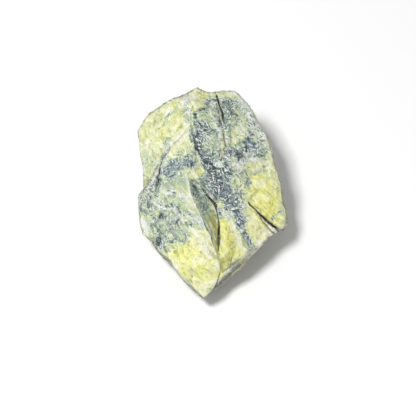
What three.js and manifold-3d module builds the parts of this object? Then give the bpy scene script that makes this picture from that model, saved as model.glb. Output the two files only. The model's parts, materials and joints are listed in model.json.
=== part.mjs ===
// A rough, freshly broken lump of serpentine, lying on its back with its broad face up.
//
// The lump is worked out in the frame of its broad face, in millimetres: the first number runs
// across the face, the second up the face, and the third straight out of it. Four convex blocks
// are grown together, as the real lump is bounded by the joints that run through it. Slabs and
// flakes are knocked off it, cracks are cut in it, and the broken surface is roughened. It is then
// laid on the ground, and the spot that it rests on is cut flat.

import * as THREE from 'three';
import { ConvexGeometry } from 'three/addons/geometries/ConvexGeometry.js';
import { ImprovedNoise } from 'three/addons/math/ImprovedNoise.js';
import { TessellateModifier } from 'three/addons/modifiers/TessellateModifier.js';
import { mergeVertices } from 'three/addons/utils/BufferGeometryUtils.js';
import Module from 'manifold-3d';

const wasm = await Module();
wasm.setup();

// Driving dimensions, in millimetres and degrees.
const FACE_LEAN = 30; // between the direction that the broad face looks and straight up
const GROUND = -16; // height of the ground, measured from the middle of the face
const GRAIN = 2.9; // longest edge of a triangle on the broken surface
const WELD = 1e-4; // vertices closer than this are one
const CLEAR = 40; // how far a knocked-off block or a crack's wedge reaches out of the stone

// Roughness of the broken surface: how far it strays, over what length.
const SWELL = { reach: 0.9, length: 11 };
const HACKLE = { reach: 0.5, length: 4.2 };

// ---------------------------------------------------------------- solids, and how they are cut

// A closed three.js geometry as a solid that can be joined and cut.
function solid(geometry) {
  const bare = geometry.clone();
  bare.deleteAttribute('normal');
  bare.deleteAttribute('uv');
  const welded = mergeVertices(bare, WELD);
  return new wasm.Manifold(new wasm.Mesh({
    numProp: 3,
    vertProperties: welded.attributes.position.array,
    triVerts: new Uint32Array(welded.index.array),
  }));
}

// The solid's surface as a three.js geometry.
function surface(made) {
  const mesh = made.getMesh();
  return new THREE.BufferGeometry()
    .setAttribute('position', new THREE.BufferAttribute(new Float32Array(mesh.vertProperties), 3))
    .setIndex(new THREE.BufferAttribute(new Uint32Array(mesh.triVerts), 1));
}

// The convex block that has these corners.
function block(corners) {
  return solid(new ConvexGeometry(corners.map((corner) => new THREE.Vector3(...corner))));
}

// Where a line from far outside, through `target` and against `outward`, first meets the stone.
function struck(stone, target, outward) {
  const mesh = new THREE.Mesh(surface(stone), new THREE.MeshBasicMaterial());
  const out = new THREE.Vector3(...outward).normalize();
  const from = new THREE.Vector3(...target).addScaledVector(out, 2 * CLEAR);
  return new THREE.Raycaster(from, out.clone().negate()).intersectObject(mesh)[0];
}

// The height of the broad face at a point across and up it, if the stone reaches that far.
function faceHeight(stone, across, up) {
  return struck(stone, [across, up, 0], [0, 0, 1])?.point.z;
}

// Knocks a slab off the broad face. Each corner is [across, up, depth below the face there], so a
// corner at depth 0 is where the slab ran out to nothing, and a deep one stands in a step.
function knock(stone, corners) {
  const bed = corners.map(([x, y, depth]) => [x, y, faceHeight(stone, x, y) - depth]);
  return stone.subtract(block([...bed, ...bed.map(([x, y, z]) => [x, y, z + CLEAR])]));
}

// Opens a crack in the broad face along a path of [across, up, width, depth]. An end of the path
// that runs out past the rim is as high as its neighbour.
function crack(stone, path) {
  const heights = path.map(([x, y]) => faceHeight(stone, x, y));
  const stations = path.map((place, i) => [...place, heights[i] ?? heights[i - 1] ?? heights[i + 1]]);
  let cracked = stone;
  for (let i = 1; i < stations.length; i += 1) {
    const [from, to] = [stations[i - 1], stations[i]];
    const run = new THREE.Vector2(to[0] - from[0], to[1] - from[1]).normalize();
    const wedge = [from, to].flatMap(([x, y, width, depth, z]) => {
      const side = [-run.y * width / 2, run.x * width / 2];
      const flare = 1 + CLEAR / depth; // the two walls stay straight on their way out
      return [
        [x, y, z - depth],
        [x + side[0] * flare, y + side[1] * flare, z + CLEAR],
        [x - side[0] * flare, y - side[1] * flare, z + CLEAR],
      ];
    });
    cracked = cracked.subtract(block(wedge));
  }
  return cracked;
}

// The shell-shaped hollow that a flake leaves where the stone was struck.
function flake(stone, { target, outward, radius, depth }) {
  const { point } = struck(stone, target, outward);
  const out = new THREE.Vector3(...outward).normalize();
  const centre = point.addScaledVector(out, radius - depth);
  const ball = new THREE.IcosahedronGeometry(radius, Math.ceil(radius / GRAIN));
  return stone.subtract(solid(ball.translate(...centre.toArray())));
}

// ---------------------------------------------------------------- the four blocks of the lump

// Corners that lie towards the ground are given level with it, as [across, along, height].
const toFace = new THREE.Quaternion().setFromAxisAngle(
  new THREE.Vector3(1, 0, 0), THREE.MathUtils.degToRad(-FACE_LEAN));
const low = (across, along, height) =>
  new THREE.Vector3(across, along, height).applyQuaternion(toFace).toArray();

const LEFT = low(-20.5, 2, -9);
const FAR_LEFT = low(-18.5, 20, -8);
const FAR = low(-3, 32, -5);
const FAR_RIGHT = low(13, 27, -7);
const RIGHT = low(19.5, 9, -9);
const NEAR_RIGHT = low(17.5, -7, -11);
const NEAR = low(2, -20, -12.5);
const NEAR_LEFT = low(-11.5, -16, -12);
const BELLY = [
  low(-11, -8, -14.6), low(3, -13, -14.8), low(12.5, -4, -14.4),
  low(11.5, 14, -14.2), low(0, 20, -14.4), low(-12.5, 10, -14.4),
];
const UNDERSIDE = [
  low(-8, -2, GROUND - 1), low(1, -6, GROUND - 1), low(8, 1, GROUND - 1),
  low(7.5, 11, GROUND - 1), low(0, 14.5, GROUND - 1), low(-8, 9, GROUND - 1),
];

// The plate at the upper left, which slopes away from the crest to the left rim.
const upperLeftPlate = block([
  [-4.2, 32.8, -9.5], [-5.7, 28.5, -5.5], [-7.4, 31.3, -9.5], [-14.8, 27.4, -8],
  [-20.6, 23.2, -8.5], [-22.3, 19, -8.5], [-22, 12.4, -6.5], [-21, 6.3, -5],
  [-6.9, 20.1, 0.3], [-12.6, 14.1, 0.6], [-15.3, 9, 0], [-16.5, 2.4, -0.8],
  [-1, 31.2, -8.6], [0, 24, -6], LEFT, FAR_LEFT, FAR, BELLY[5], BELLY[4],
]);

// The block at the lower left. Its crest is the highest line of the broad face.
const lowerLeftBlock = block([
  [-7, 19.6, 1.2], [-5.5, 14.8, 3.1], [-12.9, 12.9, 1.6], [-15.3, 8.1, 1.2], [-17, 1.5, 1],
  [-6.6, 10.8, 4.2], [-6.6, 5.5, 5.6], [-3.3, -4.5, 7.4], [-0.7, -10.5, 8.2], [1.8, -19.3, 8.6],
  [2.4, -23.4, 8.4], [-1, -29.6, 8.2], [-2.7, -31, 8],
  [-18.6, -2.1, 0.3], [-18.9, -7.5, 0.6], [-17.3, -13.2, 2.2], [-12.9, -19.4, 4.8], [-7.9, -25.2, 7],
  [-22, -0.9, -4.5], [-22.5, -5.1, -4], [-22, -9.3, -3], [-20.6, -12.1, -1.6], [-18.1, -13.8, -0.6],
  [-14.4, -18.8, 1.5], [-9.7, -25, 4], [-6.1, -27.6, 5.4], [-2.7, -32, 6],
  [-0.6, 10, 0], [2.5, 0, 0.6], [3, -10, 2.2], LEFT, NEAR, NEAR_LEFT, ...BELLY, ...UNDERSIDE,
]);

// The block to the right of the crest, down to the rim at the lower right.
const rightBlock = block([
  [-5.5, 26, -3.4], [-6.4, 20.6, -0.2], [-5.4, 16, 2], [-5, 11.4, 3.4], [-3.4, 4, 4.6],
  [1.8, -6.6, 5.8], [2.4, -14.1, 7.2], [2.1, -20.7, 8.2], [-2, -30.4, 7.4],
  [3, -24.6, 7.6], [6.9, -20.7, 6.6], [17.2, -14.9, 3.4], [20.9, -12.6, 1.6],
  [22.2, -6, 0.4], [20.8, 1, -0.6], [17.6, 8, -1.2], [17.4, 12.6, -3],
  [3, 18.9, -0.6], [6.9, 6.9, 2.8], [10.5, -2.1, 3.6],
  [-4, 29, -7.2], [-1, 31.2, -8.6], [3, 31, -9],
  [-1.8, -31, 3], [3.7, -24.9, 2], [7.6, -21.2, 1], [14.8, -16.7, -1], [20.9, -13.5, -4],
  [23.2, -9.7, -4], [22.6, -3.6, -5], [21.4, 0.9, -5.5], [18.4, 8, -6], [18.2, 12.6, -7],
  FAR, FAR_RIGHT, RIGHT, NEAR_RIGHT, NEAR, ...BELLY, ...UNDERSIDE,
]);

// The plate at the upper right. It stands proud along its left edge and sinks in below.
const upperRightPlate = block([
  [1.4, 30.6, -7.4], [2.9, 25, -3], [3.4, 19, 0.1], [4, 13, 0.6],
  [7.2, 29.9, -8.2], [10, 27, -6.8], [13, 23.2, -5.2], [16.1, 17.8, -3.8], [17.4, 12.6, -3],
  [14, 9, -0.6],
  [3, 31.2, -9.5], [7.5, 30.7, -10.5], [10.5, 27.6, -10], [13.6, 23.7, -9.5], [16.8, 18, -8],
  [18.2, 12.6, -7], [0, 10, -8], FAR, FAR_RIGHT, RIGHT,
]);

let stone = upperLeftPlate.add(lowerLeftBlock).add(rightBlock).add(upperRightPlate);

// ---------------------------------------------------------------- what broke off it

// The cleft: a wall drops from the crest, and the block beyond it stands up sheer.
const CREST = [[-7.6, 6.2], [-6.6, 0.9], [-5.1, -2.7], [-3.1, -6.3], [-0.7, -10.5], [1.9, -19.3]]
  .map(([x, y]) => [x, y, faceHeight(stone, x, y)]);
const CLEFT_BED = [[-5.4, 4.6, 4.6], [-1.8, -0.6, 3.8], [1.1, -3, 2.8], [1.7, -8, 2.4], [2.2, -14, 4.6]];
stone = stone.subtract(block([...CREST, ...CLEFT_BED].flatMap(([x, y, z]) =>
  [[x, y, z], [x, y, z + CLEAR]])));

const SLABS = {
  crestStep: [[-13.4, 10.8, 0.1], [-10, 11.6, 0.4], [-7.2, 11, 0.3], [-6.8, 3.6, 0], [-14.6, 4, 0]],
  oliveChip: [[2, -19.6, 0], [7, -15.9, 0], [5.4, -22.3, 0.9], [3, -24, 0.6]],
};
for (const corners of Object.values(SLABS)) stone = knock(stone, corners);

const CRACKS = {
  cleftFoot: [
    [-3.9, 2.4, 0.2, 1.5], [-1.6, -0.6, 0.4, 3], [1.1, -3.2, 0.8, 5], [1.8, -8, 0.8, 5],
    [2.2, -14, 0.7, 4], [2, -18.6, 0.2, 1],
  ],
  topPlate: [[1.2, 31.5, 0.9, 4], [2.5, 27, 0.7, 3], [3.6, 24.6, 0.6, 2.4], [3.9, 21, 0.3, 1.2]],
  leftLedge: [[-13.5, 15.6, 0.1, 0.4], [-15, 9.3, 0.3, 0.8], [-16.4, 3, 0.3, 0.8], [-17, 0, 0.1, 0.4]],
  rightWedge: [[10.4, -2.2, 0.2, 1], [13.6, -5.8, 0.4, 2.4], [17.2, -9, 0.5, 3.4], [23, -13.4, 0.8, 5]],
};
for (const path of Object.values(CRACKS)) stone = crack(stone, path);

// Flakes struck off the flanks, where the lump was broken free.
const FLAKES = [
  { target: low(4, 0, -10), outward: low(0.3, 1, 0.1), radius: 24, depth: 0.9 },
  { target: low(-10, 0, -12), outward: low(-0.3, 1, -0.4), radius: 15, depth: 0.8 },
  { target: low(0, 9, -12), outward: low(1, 0.4, -0.4), radius: 24, depth: 0.9 },
  { target: low(0, -6, -13), outward: low(1, -0.6, -0.5), radius: 20, depth: 0.8 },
];
for (const struckOff of FLAKES) stone = flake(stone, struckOff);

// ---------------------------------------------------------------- the broken surface

// Broken stone is never flat: every point strays a little from the joint that it broke along.
function roughen(geometry) {
  const noise = new ImprovedNoise();
  const points = geometry.attributes.position;
  const point = new THREE.Vector3();
  for (let i = 0; i < points.count; i += 1) {
    point.fromBufferAttribute(points, i);
    const stray = new THREE.Vector3();
    for (const { reach, length } of [SWELL, HACKLE]) {
      const [x, y, z] = point.toArray().map((value) => value / length);
      stray.x += reach * noise.noise(x + 31, y, z);
      stray.y += reach * noise.noise(x, y + 57, z);
      stray.z += reach * noise.noise(x, y, z + 83);
    }
    points.setXYZ(i, ...point.add(stray).toArray());
  }
  return geometry;
}

const MOST_HALVINGS = 24;
const fine = new TessellateModifier(GRAIN, MOST_HALVINGS).modify(surface(stone));
stone = solid(roughen(mergeVertices(fine, WELD)));

// ---------------------------------------------------------------- laid on the ground

const toGround = new THREE.Matrix4().makeRotationFromQuaternion(toFace.clone().invert());
const EARTH = 200;
const earth = new THREE.BoxGeometry(EARTH, EARTH, EARTH).translate(0, 0, GROUND - EARTH / 2);
const rested = surface(solid(surface(stone).applyMatrix4(toGround)).subtract(solid(earth)));

// The origin is on the ground, under the middle of the lump.
rested.computeBoundingBox();
const middle = rested.boundingBox.getCenter(new THREE.Vector3());
rested.translate(-middle.x, -middle.y, -GROUND);

const rock = new THREE.Mesh(rested, new THREE.MeshStandardMaterial({
  color: 0xc3c68c, roughness: 0.6, metalness: 0,
}));
rock.name = 'serpentine_rock';

const group = new THREE.Group();
group.add(rock);

export default group;
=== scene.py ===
# %% [markdown]
# # A rough lump of serpentine
#
# Serpentine is a soft rock with a waxy feel. Broken out of its bed it is yellow-green, with
# patches and veins of blue-grey where another mineral has grown through it as fine needles.
# This lesson takes a plain faceted solid of such a lump and dresses it in three stages: a finer
# mesh, a broken surface, and a stone made of nothing but noise and brush strokes.
#
# The first cell loads the solid. Its size is the stone's size.

import json
import math

import bpy
import numpy as np
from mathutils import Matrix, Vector
from mathutils.noise import noise_vector, seed_set

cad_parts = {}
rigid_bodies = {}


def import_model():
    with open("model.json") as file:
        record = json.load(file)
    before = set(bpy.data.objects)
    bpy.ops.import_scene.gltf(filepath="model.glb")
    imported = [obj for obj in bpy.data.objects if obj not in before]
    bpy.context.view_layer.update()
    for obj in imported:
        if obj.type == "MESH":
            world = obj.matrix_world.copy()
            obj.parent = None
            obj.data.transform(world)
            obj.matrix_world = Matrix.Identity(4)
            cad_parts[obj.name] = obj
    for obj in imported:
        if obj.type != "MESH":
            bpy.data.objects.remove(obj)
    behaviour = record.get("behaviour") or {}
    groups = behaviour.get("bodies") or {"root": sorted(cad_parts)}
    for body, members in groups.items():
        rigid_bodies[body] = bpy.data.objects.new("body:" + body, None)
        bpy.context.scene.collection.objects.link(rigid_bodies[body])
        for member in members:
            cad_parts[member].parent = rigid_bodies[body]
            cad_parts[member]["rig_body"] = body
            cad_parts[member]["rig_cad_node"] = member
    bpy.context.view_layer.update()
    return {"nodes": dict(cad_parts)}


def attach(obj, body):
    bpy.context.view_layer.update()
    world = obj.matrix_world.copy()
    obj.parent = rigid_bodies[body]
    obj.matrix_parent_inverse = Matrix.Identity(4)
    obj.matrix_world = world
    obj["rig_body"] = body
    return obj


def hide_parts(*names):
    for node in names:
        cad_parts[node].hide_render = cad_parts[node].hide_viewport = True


MM = 0.001
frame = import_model()
solid = frame["nodes"]["serpentine_rock"]

# %% [markdown]
# ## The face's own frame
#
# The lump lies on its back and its broad face leans 30 degrees towards us. Everything that is
# placed on that face is easier to give in the face's own frame: so many millimetres across it,
# so many up it. The camera looks straight at the face, so it uses the same frame. A long lens
# from a good way off keeps the far rim as wide as the near one, as product pictures do.

# %% Camera
FACE_LEAN = math.radians(30)
FACE_MIDDLE = Vector((-0.3, -1.08, 16)) * MM  # where the face's own frame begins
ACROSS = Vector((1, 0, 0))
UP = Vector((0, math.cos(FACE_LEAN), math.sin(FACE_LEAN)))
OUT = Vector((0, -math.sin(FACE_LEAN), math.cos(FACE_LEAN)))
VIEW_DISTANCE = 0.6
VIEW_WIDTH = 124.8 * MM  # what the picture's width takes in, at the face
SENSOR = 36  # mm, as the lens is given
AIM_LEFT = 1.2 * MM
AIM_BELOW = 4.5 * MM

bpy.ops.object.select_all(action="DESELECT")
aim = FACE_MIDDLE - AIM_LEFT * ACROSS - AIM_BELOW * UP
bpy.ops.object.camera_add(location=aim + OUT * VIEW_DISTANCE, rotation=(FACE_LEAN, 0, 0))
camera = bpy.context.object
camera.name = "camera"
camera.data.sensor_width = SENSOR
camera.data.lens = SENSOR / VIEW_WIDTH * VIEW_DISTANCE
camera.data.clip_start = 0.01
bpy.context.scene.camera = camera
print("lens, mm:", round(camera.data.lens, 1))

# %% [markdown]
# ## A copy to work on
#
# The loaded solid stays as it is, for what will bump into it. Its mesh is also loose triangles,
# which no smoothing can work on. So it is copied, and the copy's corners are merged.

# %% Copy the solid and merge its corners
SAME_CORNER = 0.005 * MM

bpy.ops.object.select_all(action="DESELECT")
solid.select_set(True)
bpy.context.view_layer.objects.active = solid
bpy.ops.object.duplicate()
stone = bpy.context.view_layer.objects.active
stone.name = "broken_stone"
bpy.ops.object.parent_clear(type="CLEAR_KEEP_TRANSFORM")
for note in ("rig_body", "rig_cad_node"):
    del stone[note]
stone.data.materials.clear()

bpy.ops.object.mode_set(mode="EDIT")
bpy.ops.mesh.select_all(action="SELECT")
bpy.ops.mesh.remove_doubles(threshold=SAME_CORNER)
bpy.ops.mesh.select_all(action="DESELECT")
print("copy:", len(stone.data.polygons), "faces")

# %% [markdown]
# ## Sharp joints, soft fractures
#
# The stone broke along joints, which left hard edges, but between them its surface only rolls.
# The solid has flat facets everywhere. A crease on each edge that turns by more than 28 degrees,
# and then two rounds of subdivision, keep the hard edges and round the rest.

# %% Crease the hard edges and round the rest
HARD_EDGE = math.radians(28)

bpy.ops.mesh.select_mode(type="EDGE")
bpy.ops.mesh.edges_select_sharp(sharpness=HARD_EDGE)
bpy.ops.transform.edge_crease(value=1)
bpy.ops.mesh.select_mode(type="VERT")
bpy.ops.object.mode_set(mode="OBJECT")

rounding = stone.modifiers.new("rounding", "SUBSURF")
rounding.levels = rounding.render_levels = 2
bpy.ops.object.modifier_apply(modifier=rounding.name)
print("rounded:", len(stone.data.polygons), "faces")

# %% [markdown]
# ## An even grid
#
# Subdivision leaves small faces in the cracks and large ones elsewhere. A relief needs one size
# everywhere. A voxel remesh gives that, but it melts cracks that are narrower than two voxels.
# The sharp remesh keeps them: it looks for the place of each corner inside its cell.

# %% Even grid
regrid = stone.modifiers.new("even grid", "REMESH")
regrid.mode = "SHARP"
regrid.octree_depth = 8
regrid.scale = 0.82
regrid.sharpness = 1
regrid.threshold = 0.05
bpy.ops.object.modifier_apply(modifier=regrid.name)
print("even grid:", len(stone.data.polygons), "faces")

# %% [markdown]
# ## The broken surface
#
# Three sizes of relief lie on a fresh break: swells some 5 mm long, hackles where it tore, and
# the grain. A Displace modifier pushes the surface along its normals by a texture, and each
# size gets its own, because one texture can't hold all three.

# %% Relief
SMOOTH_UP_TO = math.radians(50)


def relief(name, size, height, noise_type="SOFT_NOISE"):
    texture = bpy.data.textures.new(name, "CLOUDS")
    texture.noise_scale = size
    texture.noise_depth = 1
    texture.noise_type = noise_type
    push = stone.modifiers.new(name, "DISPLACE")
    push.texture = texture
    push.texture_coords = "LOCAL"
    push.mid_level = 0.5
    push.strength = height
    bpy.ops.object.modifier_apply(modifier=push.name)


relief("swell", 4.5 * MM, 0.45 * MM)
relief("hackles", 1.9 * MM, 0.32 * MM, "HARD_NOISE")
relief("grain", 0.75 * MM, 0.18 * MM)
bpy.ops.object.shade_smooth_by_angle(angle=SMOOTH_UP_TO)
print("relief on:", len(stone.data.vertices), "points")

# %% [markdown]
# ## The spot it rests on
#
# The relief also pushed the underside out, a little below the floor. A stone that lies still rests
# on a rubbed flat spot, so every point under the floor is scaled onto it.

# %% Flatten the resting spot
for point in stone.data.vertices:
    point.select = point.co.z < 0
print("points under the floor:", sum(point.select for point in stone.data.vertices))
bpy.ops.object.mode_set(mode="EDIT")
bpy.ops.transform.resize(value=(1, 1, 0), center_override=(0, 0, 0))
bpy.ops.mesh.select_all(action="DESELECT")
bpy.ops.object.mode_set(mode="OBJECT")

# %% [markdown]
# ## Where it is bruised, and where it is hollow
#
# Handling bruises a soft stone's edges white, and its cracks are darkened with dust and painted shade.
# Both are measured on the mesh: each point is compared with the middle of its neighbourhood. A point
# that stands out of it is on an edge, and one that lies inside is in a hollow. The normals are evened
# out in the same way, to tell the broad face from the sides. First the mesh is read into arrays.

# %% Read the mesh
mesh = stone.data
points = np.zeros(len(mesh.vertices) * 3)
mesh.vertices.foreach_get("co", points)
points = points.reshape(-1, 3)
normals = np.zeros(len(mesh.vertices) * 3)
mesh.vertices.foreach_get("normal", normals)
normals = normals.reshape(-1, 3)
pairs = np.zeros(len(mesh.edges) * 2, np.int64)
mesh.edges.foreach_get("vertices", pairs)
pairs = pairs.reshape(-1, 2)
print("points:", len(points), "edges:", len(pairs))

# %% Measure edges and hollows
EDGE_ROUNDS = 14
SIDE_ROUNDS = 12


def neighbourhood(values, rounds):
    """Each point's value, evened out with its neighbours' so many times."""
    count = np.bincount(pairs.ravel(), minlength=len(values))[:, None]
    smoothed = values.copy()
    for _ in range(rounds):
        total = np.zeros_like(smoothed)
        np.add.at(total, pairs[:, 0], smoothed[pairs[:, 1]])
        np.add.at(total, pairs[:, 1], smoothed[pairs[:, 0]])
        smoothed = total / count
    return smoothed


def rise(values, low, high):
    """0 up to low, 1 from high on, and straight in between."""
    return np.clip((values - low) / (high - low), 0, 1)


def keep(name, values):
    """Lays the values on the mesh's points as an attribute, for the material to read."""
    stone.data.attributes.new(name, "FLOAT", "POINT").data.foreach_set("value", values.astype(np.float32))
    print(name, "mean", round(float(values.mean()), 3))


stands_out = ((points - neighbourhood(points, EDGE_ROUNDS)) * normals).sum(1) / MM
keep("edge", rise(stands_out, 0.1, 0.35))
facing = neighbourhood(normals, SIDE_ROUNDS) @ np.array(OUT)
in_front = rise(facing, -0.1, 0.3)
print("points on the sides and back:", int((facing < 0.5).sum()))

# %% [markdown]
# ## Strokes on the face
#
# Where the blue-grey mineral and the deeper yellow lie on the broad face is drawn in strokes, each
# a line of spots with a half width in millimetres, as with a soft brush. A stroke could be a
# few nodes in the material, but a hundred of them are more than a shader can hold, so they are
# laid on the mesh's points as attributes. Each stroke covers what lies under it, as paint does.
# Nothing in a rock has a smooth outline: before that, every point is pushed about by two noises.
# They start from a fixed seed, or the strokes would lie a little differently on every run.
# Seen from the face the strokes would run right through to the back, so most of them are
# multiplied by in_front, which fades them out where the surface turns away.

# %% A brush
NOISE_SEED = 5
seed_set(NOISE_SEED)

face_axes = np.array([ACROSS, UP, OUT])
in_face_mm = (points - np.array(FACE_MIDDLE)) @ face_axes.T / MM


def pushed(places, per_mm, reach):
    """Moves the places by up to reach mm, along a noise with so many swings per mm."""
    shifts = [noise_vector(Vector(place) * per_mm) for place in places]
    return places + np.array(shifts) * reach


ragged_mm = pushed(pushed(in_face_mm, 0.25, 0.8), 0.9, 0.5)[:, :2]
fine_mm = pushed(in_face_mm, 0.8, 0.35)[:, :2]


def drawn(strokes, places=ragged_mm, soft=(0.2, 1.6)):
    """Strokes are (strength, (across, up, half width), ...): one spot is a dab, more are a line.

    Soft says where, in half widths, a stroke begins to fade and where it has ended.
    """
    laid = np.zeros(len(places))
    for strength, *spots in strokes:
        spots = np.array(spots, float)
        cover = np.zeros(len(places))
        for start, end in zip(spots, spots[1:] if len(spots) > 1 else spots):
            way = end[:2] - start[:2]
            along = np.clip((places - start[:2]) @ way / max(way @ way, 1e-9), 0, 1)
            nearest = start[:2] + along[:, None] * way
            away = np.linalg.norm(places - nearest, axis=1) / (start[2] + along * (end[2] - start[2]))
            inside = 1 - rise(away, *soft)
            cover = np.maximum(cover, inside * inside * (3 - 2 * inside))
        laid += (strength - laid) * cover
    return laid


def ring(strength, across, up, radius, half_width, start=0, end=360):
    """A round stroke, of a spot every 30 degrees."""
    spots = []
    for degrees in range(start, end + 1, 30):
        turn = math.radians(degrees)
        spots.append((across + radius * math.cos(turn), up + radius * math.sin(turn), half_width))
    return (strength, *spots)


print("points to paint:", len(ragged_mm))

# %% [markdown]
# ## Where the blue-grey has grown
#
# The blue-grey mineral fills the stone's upper half beside the crest, and runs down from there
# as a vein. The strokes give how much of it there is: 0.3 is a greenish tinge, 0.6 is
# grey-green and 1 is nearly navy. The broad ones come first, as a painter blocks in a picture.

# %% Blue-grey strokes: broad ones
broad_growth = [
    (0.5, (0, 27, 2.8), (6.5, 26.5, 3.6)),
    (0.42, (10, 25, 3), (14.2, 17.4, 3)),
    (0.52, (-3.4, 21.5, 3), (5, 22, 4.4)),
    (0.55, (-2.8, 16.5, 3.8), (7, 16.5, 5)),
    (0.58, (-4.4, 11.5, 3), (7, 11, 4)),
    (0.52, (8, 12.5, 3.2), (15, 13, 2.2)),
    (0.66, (-1.6, 6.5, 3.4), (6.5, 7, 3)),
    (0.7, (1.6, 3, 3.6), (7, -1, 3)),
    (0.42, (8, 6.4, 2), (10.8, 3.4, 1.3)),
    (0.62, (5.6, -3, 2.4), (8.2, -5.2, 1.6)),
    (0.62, (-6, 4.4, 1.3), (-4.4, -0.4, 1.7), (-1.6, -5.4, 1.8)),
    (0.62, (-5, 7.6, 2), (-2.4, 3.4, 1.8), (1.2, -1.6, 1.8)),
    (0.36, (-0.8, -7.4, 1.2)),
    (0.46, (1.8, -3.4, 1), (2.6, -6.8, 1)),
]
print("broad strokes:", len(broad_growth))

# %% [markdown]
# ## Knots and veins
#
# The mineral is densest along the foot of the crest, in knots of a millimetre or two, and in the
# vein that leaves the stone at the lower right.

# %% Blue-grey strokes: knots and veins
knots_and_veins = [
    (0.8, (-3.5, 25.4, 0.6), (-2.4, 25.6, 0.5)),
    (0.7, (-1.4, 26.6, 0.5), (0.2, 28, 0.6)),
    (0.88, (-5.2, 24.2, 0.8), (-5.3, 22.8, 0.9)),
    (0.82, (-4.7, 20.5, 1), (-1.8, 19, 1)),
    (0.8, (-4.8, 18.8, 1), (-3.9, 16.8, 1.1), (-4.3, 15, 1.1)),
    (0.84, (-4.3, 13.4, 1), (-2.4, 10, 1.1)),
    (0.86, (-2.4, 10, 1.1), (0, 6.4, 1.5), (1.6, 4, 2), (2.8, 1, 2.1), (3.8, -1, 1.6)),
    (0.78, (4.4, -2.4, 1.2), (6.4, -4.2, 1.3)),
    (0.84, (-6.9, 9.6, 1.5)),
    (0.72, (-1.8, 12.6, 0.9)),
    (0.78, (3.8, 7.2, 1.1)),
    (0.76, (8, -0.6, 0.8), (8.1, -3.4, 0.8)),
    (0.85, (4.8, 12, 1), (7, 12.6, 0.9), (8.3, 11.1, 1)),
    (0.85, (10.2, 15.4, 1), (10.2, 13.4, 1.1)),
    (0.85, (11.8, 17.8, 0.8), (11, 16.2, 0.8)),
    (0.82, (12.6, 14.8, 1.2)),
    (0.56, (13.8, 13.2, 1.1), (15.6, 12.2, 1)),
    (0.36, (10, 9.6, 1)),
    (0.6, (6, 24.6, 0.9), (5.2, 23, 0.8)),
    (0.62, (4.2, 25, 0.8), (4.3, 22.8, 0.8)),
    (0.66, (3.8, 26.9, 1)),
    (0.38, (6.8, 21.4, 1.1)),
    (0.58, (0.6, 27.6, 0.9), (1.8, 24.4, 1), (2.4, 22.4, 0.8)),
    (0.62, (4.6, 28, 1.2), (5, 25.6, 1.4)),
    (0.72, (1.7, 29, 0.7), (2.8, 25, 0.9), (3, 21.2, 0.8)),
    (0.62, (11, 4.2, 0.8), (10.8, 2.4, 0.9)),
    (0.36, (12.2, 5.4, 1), (16.4, 8, 1)),
    (0.34, (9, -1, 1.2), (9.6, -5, 1), (10, -8, 0.7)),
    (0.72, (6.2, -3, 1.4), (7.6, -6.6, 1.1), (8.8, -9.6, 1.1), (9.4, -12.4, 0.9), (11.5, -16.4, 0.9)),
    (0.76, (8.2, -6, 0.5), (9.6, -9, 0.6)),
    (0.78, (9.2, -13, 0.5), (10.6, -15, 0.6)),
    (0.55, (8.8, -11.2, 0.4)),
    (0.34, (17.2, -8.8, 0.7), (18.9, -7, 0.8), (21.3, -5, 0.8)),
]
print("knots and veins:", len(knots_and_veins))

# %% [markdown]
# ## Gaps in the growth
#
# Yellow shows through in spots. After them come the last touches, dark and pale. The
# ones under zero lie on bare yellow: they keep the noise that is added later from growing
# any blue-grey there.

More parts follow.
